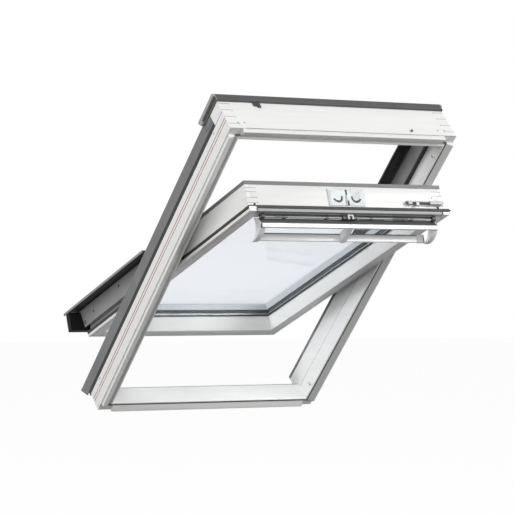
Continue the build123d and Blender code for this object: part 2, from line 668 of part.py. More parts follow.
lug_r = ROD_DROP - GRILLE_THICK - LUG_GAP
flap_outline = [flap_point(share) for share in FLAP_SHARES]
flap = along_x(flap_outline, -flap_half, flap_half)
for share in LUG_SHARES:
    x = share * flap_half
    lug = rod_x(lug_r, x - LUG_WIDTH / 2, x + LUG_WIDTH / 2, rod_y, rod_z)
    lug += box(x - LUG_WIDTH / 2, x + LUG_WIDTH / 2, rod_y, flap_outline[0][0] + lug_r, rod_z - lug_r, rod_z)
    flap += lug
flap -= rod_x(ROD_R + ROD_PLAY, -flap_half, flap_half, rod_y, rod_z)
sash_node("vent_flap", flap)

# Handle bar below the flap, held by a curved bracket that caps each end of the flap, and one in the middle
tilt = math.radians(HANDLE_TILT)
along = (math.cos(tilt), -math.sin(tilt))
across = (math.sin(tilt), math.cos(tilt))
near_y = rod_y + HANDLE_BACK
near_z = rod_z - HANDLE_LOW


def handle_point(run, lift):
    return near_y + run * along[0] + lift * across[0], near_z + run * along[1] + lift * across[1]


handle = [handle_point(0, 0), handle_point(HANDLE_WIDTH, 0), handle_point(HANDLE_WIDTH, HANDLE_THICK),
          handle_point(0, HANDLE_THICK)]
sash_node("handle_bar", along_x(handle, -handle_half, handle_half))
facet_top, facet_low = flap_outline[:2]
flap_foot, flap_back = flap_outline[4:6]
arm_low = handle_point(HANDLE_WIDTH + BRACKET_RIM, -BRACKET_RIM)
arm_end = handle_point(HANDLE_WIDTH + BRACKET_RIM, HANDLE_THICK)
cap_back = (rod_y + BRACKET_BACK, sash_z - BRACKET_GAP)
arm_line = Line(arm_low, arm_end) + RadiusArc(arm_end, cap_back, BRACKET_HOLLOW_R)
arm_line += Polyline(cap_back, facet_top, facet_low) + RadiusArc(facet_low, arm_low, -BRACKET_BELLY_R)
arm_face = Plane.YZ * make_face(arm_line)
end_bracket = Pos(handle_half, 0, 0) * extrude(arm_face, BRACKET_WIDTH, dir=(1, 0, 0))
end_bracket -= along_x(flap_outline, handle_half, flap_half)
pair(sash_node, "end_bracket", end_bracket)
middle = [flap_back, flap_foot, arm_low, arm_end, handle_point(-BRACKET_RIM, HANDLE_THICK)]
centre_bracket = along_x(middle, -CENTRE_BRACKET / 2, CENTRE_BRACKET / 2)
centre_bracket -= along_x(handle, -CENTRE_BRACKET / 2, CENTRE_BRACKET / 2)
sash_node("centre_bracket", centre_bracket)

os.makedirs("parts", exist_ok=True)
for name, shape in nodes.items():
    export_step(shape, "parts/" + name + ".step")
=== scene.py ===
import json
import math
import bmesh
import bpy
from mathutils import Matrix, Vector


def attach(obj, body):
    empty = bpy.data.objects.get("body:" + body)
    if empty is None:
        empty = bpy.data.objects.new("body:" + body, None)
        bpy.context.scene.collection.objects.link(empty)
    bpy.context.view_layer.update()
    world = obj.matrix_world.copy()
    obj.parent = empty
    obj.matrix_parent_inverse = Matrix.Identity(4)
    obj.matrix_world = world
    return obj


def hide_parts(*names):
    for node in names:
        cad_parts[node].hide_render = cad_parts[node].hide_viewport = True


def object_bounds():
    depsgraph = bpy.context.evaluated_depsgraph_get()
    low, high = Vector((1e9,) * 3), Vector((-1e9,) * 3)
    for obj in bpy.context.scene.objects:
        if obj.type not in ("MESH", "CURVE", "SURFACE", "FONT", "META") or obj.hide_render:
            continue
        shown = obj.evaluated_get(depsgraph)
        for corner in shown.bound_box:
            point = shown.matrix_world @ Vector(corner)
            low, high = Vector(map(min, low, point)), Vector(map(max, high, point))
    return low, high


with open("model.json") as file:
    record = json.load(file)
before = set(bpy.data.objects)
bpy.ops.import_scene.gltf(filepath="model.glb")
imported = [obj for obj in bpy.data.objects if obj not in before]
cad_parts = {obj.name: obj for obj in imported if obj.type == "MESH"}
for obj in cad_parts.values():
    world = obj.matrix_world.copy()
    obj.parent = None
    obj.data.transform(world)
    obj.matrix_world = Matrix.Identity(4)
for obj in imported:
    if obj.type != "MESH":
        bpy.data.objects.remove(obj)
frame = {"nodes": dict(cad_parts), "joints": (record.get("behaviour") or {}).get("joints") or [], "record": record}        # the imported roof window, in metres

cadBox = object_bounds()
scene = bpy.context.scene
scene.view_settings.view_transform = "Standard"
mm = 0.001
print("window loaded:", len(frame["nodes"]), "parts")


# Two flat drawing frames, one lying in the roof frame and one in the sash as it stands open:
# x across the window, y down the slope, z out through the roof
def findJoint(name):
    return next(joint for joint in frame["joints"] if joint["name"] == name)


def findMount(name):
    return next(mount for mount in frame["record"]["mounts"] if mount["name"] == name)


def flatPlace(outward, pivot, pivotHeight):
    across = Vector((1, 0, 0))
    down = outward.cross(across)
    turn = Matrix((across, down, outward)).transposed().to_4x4()
    return Matrix.Translation(pivot - outward * pivotHeight) @ turn


pivotPoint = Vector(findJoint("sash_pivot")["pos_m"])
frameOut = Vector((1, 0, 0)).cross(Vector(findMount("sill_face")["axis"]))
sashOut = Vector(findJoint("latch_slide")["axis"])
pivotHeight = 132 * mm             # pivot axis above the room side of the closed window
framePlace = flatPlace(frameOut, pivotPoint, pivotHeight)
sashPlace = flatPlace(sashOut, pivotPoint, pivotHeight)

# Finishes
patternDetail = {"patch": 4.0, "gloss": 3.0, "grain": 2.0, "wave": 1.0}


def newNode(tree, kind, **values):
    node = tree.nodes.new("ShaderNode" + kind)
    for key, value in values.items():
        setattr(node, key, value)
    return node


def noiseNode(tree, turn, stretch, scale, detail):
    where = newNode(tree, "TexCoord")
    mapping = newNode(tree, "Mapping")
    mapping.inputs["Rotation"].default_value = turn
    mapping.inputs["Scale"].default_value = stretch
    noise = newNode(tree, "TexNoise")
    noise.inputs["Scale"].default_value = scale
    noise.inputs["Detail"].default_value = patternDetail[detail]
    tree.links.new(where.outputs["Object"], mapping.inputs["Vector"])
    tree.links.new(mapping.outputs["Vector"], noise.inputs["Vector"])
    return noise.outputs["Fac"]


def rangeNode(tree, source, low, high, fromLow=0.3, fromHigh=0.7):
    span = newNode(tree, "MapRange")
    span.inputs["From Min"].default_value = fromLow
    span.inputs["From Max"].default_value = fromHigh
    span.inputs["To Min"].default_value = low
    span.inputs["To Max"].default_value = high
    tree.links.new(source, span.inputs["Value"])
    return span.outputs["Result"]


def newMaterial(name):
    material = bpy.data.materials.new(name)
    material.use_nodes = True
    return material, material.node_tree


def linkTint(tree, shader, look, source):
    tint = newNode(tree, "Mix", data_type="RGBA")
    tint.inputs["A"].default_value = (*look["pale"], 1)
    tint.inputs["B"].default_value = (*look["deep"], 1)
    tree.links.new(rangeNode(tree, source, 0, 1), tint.inputs["Factor"])
    tree.links.new(tint.outputs["Result"], shader.inputs["Base Color"])


def makeFinish(name, look, turn=(0, 0, 0)):
    material, tree = newMaterial(name)
    shader = tree.nodes["Principled BSDF"]
    patches = noiseNode(tree, turn, look["stretch"], look["patchScale"], "patch")
    linkTint(tree, shader, look, patches)
    gloss = noiseNode(tree, turn, look["stretch"], look["glossScale"], "gloss")
    tree.links.new(rangeNode(tree, gloss, *look["rough"]), shader.inputs["Roughness"])
    grain = noiseNode(tree, turn, look["stretch"], look["grainScale"], "grain")
    bump = newNode(tree, "Bump")
    bump.inputs["Strength"].default_value = look["bump"]
    bump.inputs["Distance"].default_value = look["bumpDepth"]
    tree.links.new(grain, bump.inputs["Height"])
    tree.links.new(bump.outputs["Normal"], shader.inputs["Normal"])
    for key, value in look.get("shader", {}).items():
        shader.inputs[key].default_value = value
    return material


lacquer = {"pale": (0.87, 0.87, 0.855), "deep": (0.835, 0.835, 0.82), "stretch": (0.06, 1, 1),
           "patchScale": 60, "glossScale": 90, "grainScale": 420, "rough": (0.3, 0.42),
           "bump": 0.06, "bumpDepth": 0.3 * mm, "shader": {"IOR": 1.48}}
greyCoat = {"pale": (0.165, 0.165, 0.169), "deep": (0.135, 0.135, 0.139), "stretch": (1, 1, 1),
            "patchScale": 14, "glossScale": 240, "grainScale": 1500, "rough": (0.38, 0.52),
            "bump": 0.12, "bumpDepth": 0.15 * mm}
rubber = {"pale": (0.022, 0.022, 0.024), "deep": (0.012, 0.012, 0.013), "stretch": (1, 1, 1),
          "patchScale": 40, "glossScale": 300, "grainScale": 1100, "rough": (0.5, 0.68),
          "bump": 0.15, "bumpDepth": 0.15 * mm}
blackPlastic = {"pale": (0.03, 0.03, 0.031), "deep": (0.019, 0.019, 0.02), "stretch": (1, 1, 1),
                "patchScale": 30, "glossScale": 200, "grainScale": 900, "rough": (0.36, 0.5),
                "bump": 0.12, "bumpDepth": 0.15 * mm}
greyPlastic = {"pale": (0.13, 0.13, 0.132), "deep": (0.1, 0.1, 0.102), "stretch": (1, 1, 1),
               "patchScale": 30, "glossScale": 200, "grainScale": 900, "rough": (0.36, 0.5),
               "bump": 0.12, "bumpDepth": 0.15 * mm}
whitePlastic = {"pale": (0.86, 0.86, 0.86), "deep": (0.825, 0.825, 0.825), "stretch": (1, 1, 1),
                "patchScale": 20, "glossScale": 160, "grainScale": 800, "rough": (0.26, 0.36),
                "bump": 0.05, "bumpDepth": 0.15 * mm}
whiteGloss = {"pale": (0.87, 0.87, 0.875), "deep": (0.84, 0.84, 0.845), "stretch": (0.08, 1, 1),
              "patchScale": 30, "glossScale": 120, "grainScale": 500, "rough": (0.18, 0.27),
              "bump": 0.03, "bumpDepth": 0.15 * mm, "shader": {"Coat Weight": 0.3}}
anodised = {"pale": (0.52, 0.52, 0.52), "deep": (0.45, 0.45, 0.45), "stretch": (0.03, 1, 1),
            "patchScale": 160, "glossScale": 700, "grainScale": 1400, "rough": (0.34, 0.48),
            "bump": 0.08, "bumpDepth": 0.1 * mm, "shader": {"Metallic": 0.55}}
zincPlate = {"pale": (0.66, 0.70, 0.70), "deep": (0.62, 0.66, 0.66), "stretch": (0.25, 1, 1),
             "patchScale": 30, "glossScale": 120, "grainScale": 600, "rough": (0.46, 0.56),
             "bump": 0.02, "bumpDepth": 0.1 * mm, "shader": {"Metallic": 0.15}}
spacerMetal = {"pale": (0.3, 0.33, 0.345), "deep": (0.25, 0.28, 0.295), "stretch": (1, 1, 1),
               "patchScale": 120, "glossScale": 400, "grainScale": 1200, "rough": (0.35, 0.5),
               "bump": 0.1, "bumpDepth": 0.1 * mm, "shader": {"Metallic": 0.35}}
casingCoat = {**greyCoat, "pale": (0.062, 0.062, 0.064), "deep": (0.05, 0.05, 0.052)}
hoodCoat = {**greyCoat, "pale": (0.36, 0.36, 0.355), "deep": (0.31, 0.31, 0.305)}
undersideShadeCoat = {**greyCoat, "pale": (0.06, 0.06, 0.062), "deep": (0.045, 0.045, 0.047),
                 "rough": (0.5, 0.65)}
apronPlastic = {**blackPlastic, "pale": (0.014, 0.014, 0.0145), "deep": (0.009, 0.009, 0.0095),
                "rough": (0.65, 0.78), "shader": {"Specular IOR Level": 0.15}}
liningPlastic = {**greyPlastic, "pale": (0.21, 0.21, 0.212), "deep": (0.17, 0.17, 0.172)}
facetMetal = {**anodised, "pale": (0.2, 0.2, 0.2), "deep": (0.16, 0.16, 0.16),
              "rough": (0.4, 0.52)}
darkSteel = {**zincPlate, "pale": (0.11, 0.11, 0.115), "deep": (0.08, 0.08, 0.083)}
palePlastic = {**greyPlastic, "pale": (0.26, 0.26, 0.262), "deep": (0.22, 0.22, 0.222)}
barLineTone = {**rubber, "pale": (0.15, 0.157, 0.165), "deep": (0.12, 0.127, 0.135)}
stripMetal = {**anodised, "pale": (0.27, 0.27, 0.27), "deep": (0.23, 0.23, 0.23),
              "rough": (0.5, 0.6)}
springSteel = {**zincPlate, "pale": (0.3, 0.3, 0.3), "deep": (0.22, 0.22, 0.22)}
wingCoat = {**greyCoat, "pale": (0.265, 0.265, 0.268), "deep": (0.225, 0.225, 0.228)}
grooveShade = {**whitePlastic, "pale": (0.075, 0.075, 0.073), "deep": (0.055, 0.055, 0.054)}
boltSteel = {**zincPlate, "pale": (0.5, 0.525, 0.53), "deep": (0.44, 0.465, 0.47)}
trimHighlight = {**greyCoat, "pale": (0.78, 0.8, 0.83), "deep": (0.73, 0.75, 0.78)}
redPaint = {**whitePlastic, "pale": (0.34, 0.06, 0.05), "deep": (0.27, 0.045, 0.04)}
bluePaint = {**whitePlastic, "pale": (0.16, 0.15, 0.6), "deep": (0.13, 0.12, 0.5)}
jointAndShadeTone = {**whitePlastic, "pale": (0.2, 0.2, 0.195), "deep": (0.16, 0.16, 0.155)}
upright = {"stretch": (1, 0.06, 1)}            # grain running down the slope
alongFrame = framePlace.to_euler()[:]
alongSash = sashPlace.to_euler()[:]

paneLook = {"pale": (0.91, 0.923, 0.944), "deep": (0.9, 0.914, 0.937), "index": 1.08,
            "waveScale": 3, "rough": (0.0, 0.002), "lampTint": (0.955, 0.96, 0.965)}


# Lamp light passes straight through the panes, so that they throw no dark shadow
def glassFinish(name, look):
    material, tree = newMaterial(name)
    shader = tree.nodes["Principled BSDF"]
    shader.inputs["Transmission Weight"].default_value = 1.0
    shader.inputs["IOR"].default_value = look["index"]
    waves = noiseNode(tree, (0, 0, 0), (1, 1, 1), look["waveScale"], "wave")
    linkTint(tree, shader, look, waves)
    tree.links.new(rangeNode(tree, waves, *look["rough"]), shader.inputs["Roughness"])
    path = newNode(tree, "LightPath")
    clear = newNode(tree, "BsdfTransparent")
    clear.inputs["Color"].default_value = (*look["lampTint"], 1)
    mix = newNode(tree, "MixShader")
    tree.links.new(path.outputs["Is Shadow Ray"], mix.inputs["Fac"])
    tree.links.new(shader.outputs["BSDF"], mix.inputs[1])
    tree.links.new(clear.outputs["BSDF"], mix.inputs[2])
    tree.links.new(mix.outputs["Shader"], tree.nodes["Material Output"].inputs["Surface"])
    return material


finishes = {
    "timberAcross": makeFinish("white_lacquer_across", lacquer),
    "timberJamb": makeFinish("white_lacquer_jamb", {**lacquer, **upright}, alongFrame),
    "timberStile": makeFinish("white_lacquer_stile", {**lacquer, **upright}, alongSash),
    "cladding": makeFinish("grey_coated_sheet", greyCoat),
    # black rubber for the seals, also the painted shade in holes, slots and notches
    "seal": makeFinish("black_rubber_and_painted_shade", rubber),
    "glass": glassFinish("clear_pane", paneLook),
    "spacer": makeFinish("grey_spacer", spacerMetal),
    "zinc": makeFinish("bright_zinc", zincPlate),
    "anodised": makeFinish("satin_aluminium", anodised),
    "gloss": makeFinish("white_gloss", whiteGloss),
    "whitePlastic": makeFinish("white_moulded", whitePlastic),
    "blackPlastic": makeFinish("black_moulded", blackPlastic),
    "greyPlastic": makeFinish("grey_moulded", greyPlastic),
    "casing": makeFinish("dark_coated_sheet", casingCoat),
    "hood": makeFinish("light_coated_sheet", hoodCoat),
    "underside": makeFinish("painted_shade_underside", undersideShadeCoat),
    "apron": makeFinish("deep_black_moulded", apronPlastic),
    "lining": makeFinish("mid_grey_lining", liningPlastic),
    "facet": makeFinish("dark_aluminium", facetMetal),
    "darkSteel": makeFinish("dark_steel", darkSteel),
    "palePlastic": makeFinish("pale_grey_moulded", palePlastic),
    "strip": makeFinish("dull_aluminium", stripMetal),
    "spring": makeFinish("spring_steel", springSteel),
    "wing": makeFinish("pale_coated_sheet", wingCoat),
    "groove": makeFinish("groove_shade", grooveShade),
    "boltSteel": makeFinish("bolt_steel", boltSteel),
    "trimHighlight": makeFinish("painted_highlight_trim_edge", trimHighlight),
    "barLine": makeFinish("grey_bar_line", barLineTone),
    "redLine": makeFinish("red_line", redPaint),
    "blueLine": makeFinish("blue_line", bluePaint),
    "jointAndShadeLine": makeFinish("joint_lines_and_painted_shade", jointAndShadeTone)}
print("finishes made:", len(finishes))

# Each part of the window gets its finish, and sharp edges are eased
slotFinish = {"white_timber": "timberAcross", "grey_cladding": "cladding", "black_seal": "seal",
              "clear_glass": "glass", "spacer_metal": "spacer", "plated_steel": "zinc",
              "silver_aluminium": "anodised", "white_lacquer": "gloss",
              "white_plastic": "whitePlastic", "black_plastic": "blackPlastic",
              "grey_plastic": "greyPlastic"}
slotEase = {"white_timber": 1.2 * mm, "grey_cladding": 0.7 * mm, "black_seal": 0.5 * mm,
            "spacer_metal": 0.3 * mm, "plated_steel": 0.5 * mm, "silver_aluminium": 0.6 * mm,
            "white_lacquer": 1.6 * mm, "white_plastic": 1.2 * mm, "black_plastic": 0.7 * mm,
            "grey_plastic": 0.5 * mm}          # the panes keep their sharp edges
ownFinish = {"frame_jamb": "timberJamb", "sash_stile": "timberStile", "upper_lining": "lining",
             "bottom_apron": "apron", "head_strip": "strip", "flap_rod": "boltSteel",
             "side_plate": "wing", "side_wing": "wing"}
easing = {"merge": 0.01 * mm, "flat": math.radians(0.5), "sharp": math.radians(35), "steps": 2}


def setFinish(piece, material):
    piece.data.materials.clear()
    piece.data.materials.append(material)


def easeEdges(piece, width):
    weld = piece.modifiers.new("weld", "WELD")
    weld.merge_threshold = easing["merge"]
    flat = piece.modifiers.new("flat", "DECIMATE")
    flat.decimate_type = "DISSOLVE"
    flat.angle_limit = easing["flat"]
    ease = piece.modifiers.new("ease", "BEVEL")
    ease.width = width
    ease.segments = easing["steps"]
    ease.limit_method = "ANGLE"
    ease.angle_limit = easing["sharp"]


def dressNodes():
    for part in frame["record"]["subparts"]:
        piece = frame["nodes"][part["node"]]
        slot = part["material_slot"]
        own = [look for start, look in ownFinish.items() if part["node"].startswith(start)]
        setFinish(piece, finishes[own[0] if own else slotFinish[slot]])
        if slot in slotEase:
            easeEdges(piece, slotEase[slot])


dressNodes()
print("parts dressed")

# Builders: sizes in millimetres in one of the two flat drawing frames
builder = {"barShare": 0.4, "rodShare": 0.3, "rodSides": 28, "leastSteps": 8, "stepsPerRadian": 6,
           "ringEase": 0.4, "sharp": 40, "wideSharp": 20, "wideSteps": 4}


def mirrored(sign, near, far):
    return sorted((sign * near, sign * far))


def roundEdges(bm, edges, width, segments=2):
    if edges:
        bmesh.ops.bevel(bm, geom=edges, offset=width * mm, offset_type="OFFSET", profile=0.5,
                        segments=segments, affect="EDGES", clamp_overlap=True, material=-1)


def sharpEdges(bm, limit):
    return [edge for edge in bm.edges if len(edge.link_faces) == 2
            and edge.calc_face_angle() > math.radians(limit)]


def markFaces(verts, material):
    for face in {face for vert in verts for face in vert.link_faces}:
        face.material_index = material


def edgesOf(verts):                            # each edge once, in a fixed order
    return list(dict.fromkeys(edge for vert in verts for edge in vert.link_edges))


def addBar(bm, low, high, place, ease=0.3, material=0):
    size = Vector(high) - Vector(low)
    middle = (Vector(high) + Vector(low)) / 2
    spread = Matrix.Translation(middle) @ Matrix.Diagonal((*size, 1))
    matrix = place @ Matrix.Scale(mm, 4) @ spread
    verts = bmesh.ops.create_cube(bm, size=1, matrix=matrix)["verts"]
    markFaces(verts, material)
    roundEdges(bm, edgesOf(verts), min(ease, min(size) * builder["barShare"]))


def addRod(bm, start, end, radius, place, ease=0.3, material=0):
    line = Vector(end) - Vector(start)
    middle = Matrix.Translation((Vector(start) + Vector(end)) / 2)
    turn = line.to_track_quat("Z", "Y").to_matrix().to_4x4()
    matrix = place @ Matrix.Scale(mm, 4) @ middle @ turn
    verts = bmesh.ops.create_cone(bm, cap_ends=True, segments=builder["rodSides"], radius1=radius,
                                  radius2=radius, depth=line.length, matrix=matrix)["verts"]
    markFaces(verts, material)
    rims = [edge for edge in edgesOf(verts)
            if any(len(face.verts) > 4 for face in edge.link_faces)]
    roundEdges(bm, rims, min(ease, radius * builder["rodShare"]))


def addArc(bm, middle, radius, width, height, turns, axis, place):
    first, last = [math.radians(angle) for angle in turns]
    axis = Vector(axis)
    across = Vector((0, 1, 0)) if abs(axis.x) > 0.5 else Vector((1, 0, 0))
    aim = across * math.cos(first) + axis.cross(across) * math.sin(first)
    corners = [Vector(middle) + aim * (radius + side * width / 2) + axis * rise
               for side, rise in ((-1, 0), (1, 0), (1, height), (-1, height))]
    verts = [bm.verts.new(place @ (corner * mm)) for corner in corners]
    face = bm.faces.new(verts)
    profile = [face, *face.edges, *verts]
    whole = turns[1] - turns[0] == 360
    if whole:                                  # a full ring has no end faces
        profile.remove(face)
        bmesh.ops.delete(bm, geom=[face], context="FACES_ONLY")
    steps = max(builder["leastSteps"], int((last - first) * builder["stepsPerRadian"]))
    bmesh.ops.spin(bm, geom=profile, cent=place @ (Vector(middle) * mm), angle=last - first,
                   axis=place.to_3x3() @ axis, steps=steps, use_merge=whole)


def addRing(bm, opening, inward, heights, place):
    x, y0, y1 = opening
    z0, z1 = heights
    ease = builder["ringEase"]
    for sign in (-1, 1):
        x0, x1 = mirrored(sign, x, x - inward)
        addBar(bm, (x0, y0, z0), (x1, y1, z1), place, ease)
    addBar(bm, (-x, y0, z0), (x, y0 + inward, z1), place, ease)
    addBar(bm, (-x, y1 - inward, z0), (x, y1, z1), place, ease)


# Fine lines on a timber's front, for joints and for painted shade lines along steps
thinLine = {"proud": 0.12, "sink": 0.5, "ease": 0.05}


def addFrontLine(bm, across, heights, front, place):
    addBar(bm, (across[0], front - thinLine["proud"], heights[0]),
           (across[1], front + thinLine["sink"], heights[1]), place, thinLine["ease"])


def endPiece(bm, name, looks, body):
    bmesh.ops.recalc_face_normals(bm, faces=bm.faces[:])
    mesh = bpy.data.meshes.new(name)
    bm.to_mesh(mesh)
    bm.free()
    for look in looks:
        mesh.materials.append(finishes[look])
    piece = bpy.data.objects.new(name, mesh)
    scene.collection.objects.link(piece)
    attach(piece, body)
    return piece


# A better mesh of one part: rounded edges, and a finish for each face that pick tells apart
def refinePart(node, place, looks, body, ease, pick=None, wideEdge=None, wideEase=0):
    bm = bmesh.new()
    bm.from_mesh(frame["nodes"][node].data)
    bmesh.ops.remove_doubles(bm, verts=bm.verts[:], dist=easing["merge"])
    bmesh.ops.dissolve_limit(bm, angle_limit=easing["flat"], verts=bm.verts[:], edges=bm.edges[:])
    flat = place.inverted()
    for face in bm.faces:
        middle = flat @ face.calc_center_median() / mm
        normal = flat.to_3x3() @ face.normal
        face.material_index = pick(middle, normal) if pick else 0
    if wideEdge:
        wide = [edge for edge in sharpEdges(bm, builder["wideSharp"])
                if all(wideEdge(flat @ vert.co / mm) for vert in edge.verts)]
        roundEdges(bm, wide, wideEase, builder["wideSteps"])
    roundEdges(bm, sharpEdges(bm, builder["sharp"]), ease)
    piece = endPiece(bm, node + "_eased", looks, body)
    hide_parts(node)


faceDown = -0.3                    # a face whose normal falls below this looks into the room


def pickUnderside(middle, normal):
    return int(normal.z < faceDown)


# Frame timbers, with the outer corner of their lips well rounded
frameTimber = {"lipOut": 387, "lipEnd": 587, "lipLow": -15, "near": 0.5, "round": 4.5, "ease": 0.7,
               "looks": {"frame_jamb_left": "timberJamb", "frame_jamb_right": "timberJamb",
                         "frame_head": "timberAcross", "frame_sill": "timberAcross"}}


def onLip(point):
    near = frameTimber["near"]
    outer = (abs(abs(point.x) - frameTimber["lipOut"]) < near
             or abs(abs(point.y) - frameTimber["lipEnd"]) < near)
    return outer and abs(point.z - frameTimber["lipLow"]) < near


for node, look in frameTimber["looks"].items():
    refinePart(node, framePlace, [look], "frame", frameTimber["ease"],
               wideEdge=onLip, wideEase=frameTimber["round"])

# Coloured fitting lines along the jambs' outer faces
fitting = {"side": 390, "run": 588, "redHeights": (34, 44), "redWidth": 2.8, "blueHeight": 69,
           "blueWidth": 2.6, "blueEnd": -535, "sink": 0.3, "proud": 0.15, "ease": 0.1}


def makeFittingLines():
    bm = bmesh.new()
    run, ease = fitting["run"], fitting["ease"]
    for sign in (-1, 1):
        x0, x1 = mirrored(sign, fitting["side"] - fitting["sink"],
                          fitting["side"] + fitting["proud"])
        half = fitting["redWidth"] / 2
        for height in fitting["redHeights"]:
            addBar(bm, (x0, -run, height - half), (x1, run, height + half), framePlace, ease)
        half, height = fitting["blueWidth"] / 2, fitting["blueHeight"]
        addBar(bm, (x0, -run, height - half), (x1, fitting["blueEnd"], height + half),
               framePlace, ease, 1)
    endPiece(bm, "fitting_lines", ["redLine", "blueLine"], "frame")


makeFittingLines()

# Comb joint lines at both ends of the head, and a painted shadow line where its front steps down to
# the lip
comb = {"front": -590, "in": 354, "out": 390, "heights": (19, 48, 77, 104), "line": 1.3,
        "tick": 5, "tickHalf": 0.6, "lipStepShadow": ((-338, 386), (-0.3, 0.9))}


def makeCombLines():
    bm = bmesh.new()
    front, half, tick = comb["front"], comb["line"] / 2, comb["tickHalf"]
    for sign in (-1, 1):
        across = mirrored(sign, comb["in"], comb["out"])
        middle = sign * comb["in"]
        for height in comb["heights"]:
            addFrontLine(bm, across, (height - half, height + half), front, framePlace)
            addFrontLine(bm, (middle - tick, middle + tick), (height - comb["tick"], height),
                         front, framePlace)
    addFrontLine(bm, *comb["lipStepShadow"], front, framePlace)
    endPiece(bm, "comb_lines", ["jointAndShadeLine"], "frame")


makeCombLines()

# Painted shade: dark discs at the bottom of the pilot holes in the jambs and the head
holes = {"side": 390, "front": -590, "pilot": (512, 60), "head": (356, 334), "headHeight": 24,
         "radius": 2.45, "depth": 11, "sink": 0.6}


def makeHoleShadows():
    bm = bmesh.new()
    along, height = holes["pilot"]
    deep, near = holes["side"] - holes["depth"], holes["side"] - holes["sink"]
    headDeep, headNear = holes["front"] + holes["depth"], holes["front"] + holes["sink"]
    for sign in (-1, 1):
        for end in (-1, 1):
            addRod(bm, (sign * deep, end * along, height), (sign * near, end * along, height),
                   holes["radius"], framePlace)
        for x in holes["head"]:
            addRod(bm, (sign * x, headDeep, holes["headHeight"]),
                   (sign * x, headNear, holes["headHeight"]), holes["radius"], framePlace)
    endPiece(bm, "hole_shadows", ["seal"], "frame")


makeHoleShadows()

# Painted shade in the lining groove between bead and lip, and a painted shade line along the step
# on the jambs
groove = {"lip": 365, "lipEnd": 565, "heights": (-5, 0.2), "proud": 0.4, "sink": 0.3, "ease": 0.1,
          "face": 354, "stepHeights": (46.8, 47.9), "run": (30, 553)}


def makeGrooveShade():
    bm = bmesh.new()
    lip, end = groove["lip"], groove["lipEnd"]
    low, top = groove["heights"]
    for sign in (-1, 1):
        x0, x1 = mirrored(sign, lip - groove["proud"], lip + groove["sink"])
        addBar(bm, (x0, -end, low), (x1, end, top), framePlace, groove["ease"])
        y0, y1 = mirrored(sign, end - groove["proud"], end + groove["sink"])
        addBar(bm, (-lip, y0, low), (lip, y1, top), framePlace, groove["ease"])
        x0, x1 = mirrored(sign, groove["face"] - thinLine["proud"],
                          groove["face"] + thinLine["sink"])
        addBar(bm, (x0, groove["run"][0], groove["stepHeights"][0]),
               (x1, groove["run"][1], groove["stepHeights"][1]), framePlace, thinLine["ease"], 1)
    endPiece(bm, "lining_groove_shade", ["groove", "jointAndShadeLine"], "frame")


makeGrooveShade()

# Screw caps: a washer, and in each a dark crescent of painted shade where the slot would be in
# shadow
capMark = {"slotFace": 352.2, "along": 500, "height": 10, "radius": 4.2, "width": 2.4, "rise": 0.4,
           "turns": (-100, 110), "washer": 9.5, "washerFace": 352.6, "timber": 354.6, "ease": 0.8}


def makeCapWashers():
    bm = bmesh.new()
    for sign in (-1, 1):
        for end in (-1, 1):
            middle = (end * capMark["along"], capMark["height"])
            addRod(bm, (sign * capMark["timber"], *middle), (sign * capMark["washerFace"], *middle),
                   capMark["washer"], framePlace, capMark["ease"], 1)
            addArc(bm, (sign * capMark["slotFace"], *middle), capMark["radius"], capMark["width"],
                   capMark["rise"], capMark["turns"], (-sign, 0, 0), framePlace)
    endPiece(bm, "cap_washers", ["seal", "gloss"], "frame")


makeCapWashers()
print("frame timbers detailed")

# Side cladding: end plates with a screw and a dark seam
endPlate = {"side": 390, "sink": 1, "corners": ((-532, 91), (-499, 121)), "thick": 0.9, "ease": 0.5,
            "screw": (-491, 97), "screwRadius": 2.2, "screwRise": 0.7, "seam": 0.8,
            "seamRise": {-1: 0.9, 1: 0.1}, "seamEase": 0.1}


def makeEndPlates():
    bm = bmesh.new()
    side, root = endPlate["side"], endPlate["side"] - endPlate["sink"]
    (y0, z0), (y1, z1) = endPlate["corners"]
    y, z = endPlate["screw"]
    for sign in (-1, 1):
        x0, x1 = mirrored(sign, root, side + endPlate["thick"])
        addBar(bm, (x0, y0, z0), (x1, y1, z1), framePlace, endPlate["ease"])
        addRod(bm, (sign * root, y, z), (sign * (side + endPlate["screwRise"]), y, z),
               endPlate["screwRadius"], framePlace, endPlate["ease"], 1)
        x0, x1 = mirrored(sign, root, side + endPlate["seamRise"][sign])
        addBar(bm, (x0, y1, z0), (x1, y1 + endPlate["seam"], z1), framePlace,
               endPlate["seamEase"], 1)
    endPiece(bm, "cladding_end_plates", ["cladding", "seal"], "frame")


makeEndPlates()

# Ribs along the side seal and a block at its lower end
sealRib = {"side": 390, "sink": 1, "rise": 0.8, "run": (-534, 589), "ease": 0.6,
           "heights": ((69.5, 71.5), (79, 81.5)), "block": ((588, 66), (597, 84)),
           "blockSink": 7, "blockRise": 0.5, "blockEase": 1.2}


def makeSealRibs():
    bm = bmesh.new()
    side = sealRib["side"]
    for sign in (-1, 1):
        x0, x1 = mirrored(sign, side - sealRib["sink"], side + sealRib["rise"])
        for z0, z1 in sealRib["heights"]:
            addBar(bm, (x0, sealRib["run"][0], z0), (x1, sealRib["run"][1], z1), framePlace,
                   sealRib["ease"])
        (y0, z0), (y1, z1) = sealRib["block"]
        x0, x1 = mirrored(sign, side - sealRib["blockSink"], side + sealRib["blockRise"])
        addBar(bm, (x0, y0, z0), (x1, y1, z1), framePlace, sealRib["blockEase"])
    endPiece(bm, "seal_ribs", ["seal"], "frame")


makeSealRibs()

# Clip tongue under the head casing
clipTongue = {"bars": (((-273, -594.5, 97), (-251, -589.5, 113)),
                       ((-262, -594.5, 91), (-251, -589.5, 98))), "ease": 1.2}
bm = bmesh.new()
for low, high in clipTongue["bars"]:
    addBar(bm, low, high, framePlace, clipTongue["ease"])
endPiece(bm, "casing_clip_tongue", ["blackPlastic"], "frame")
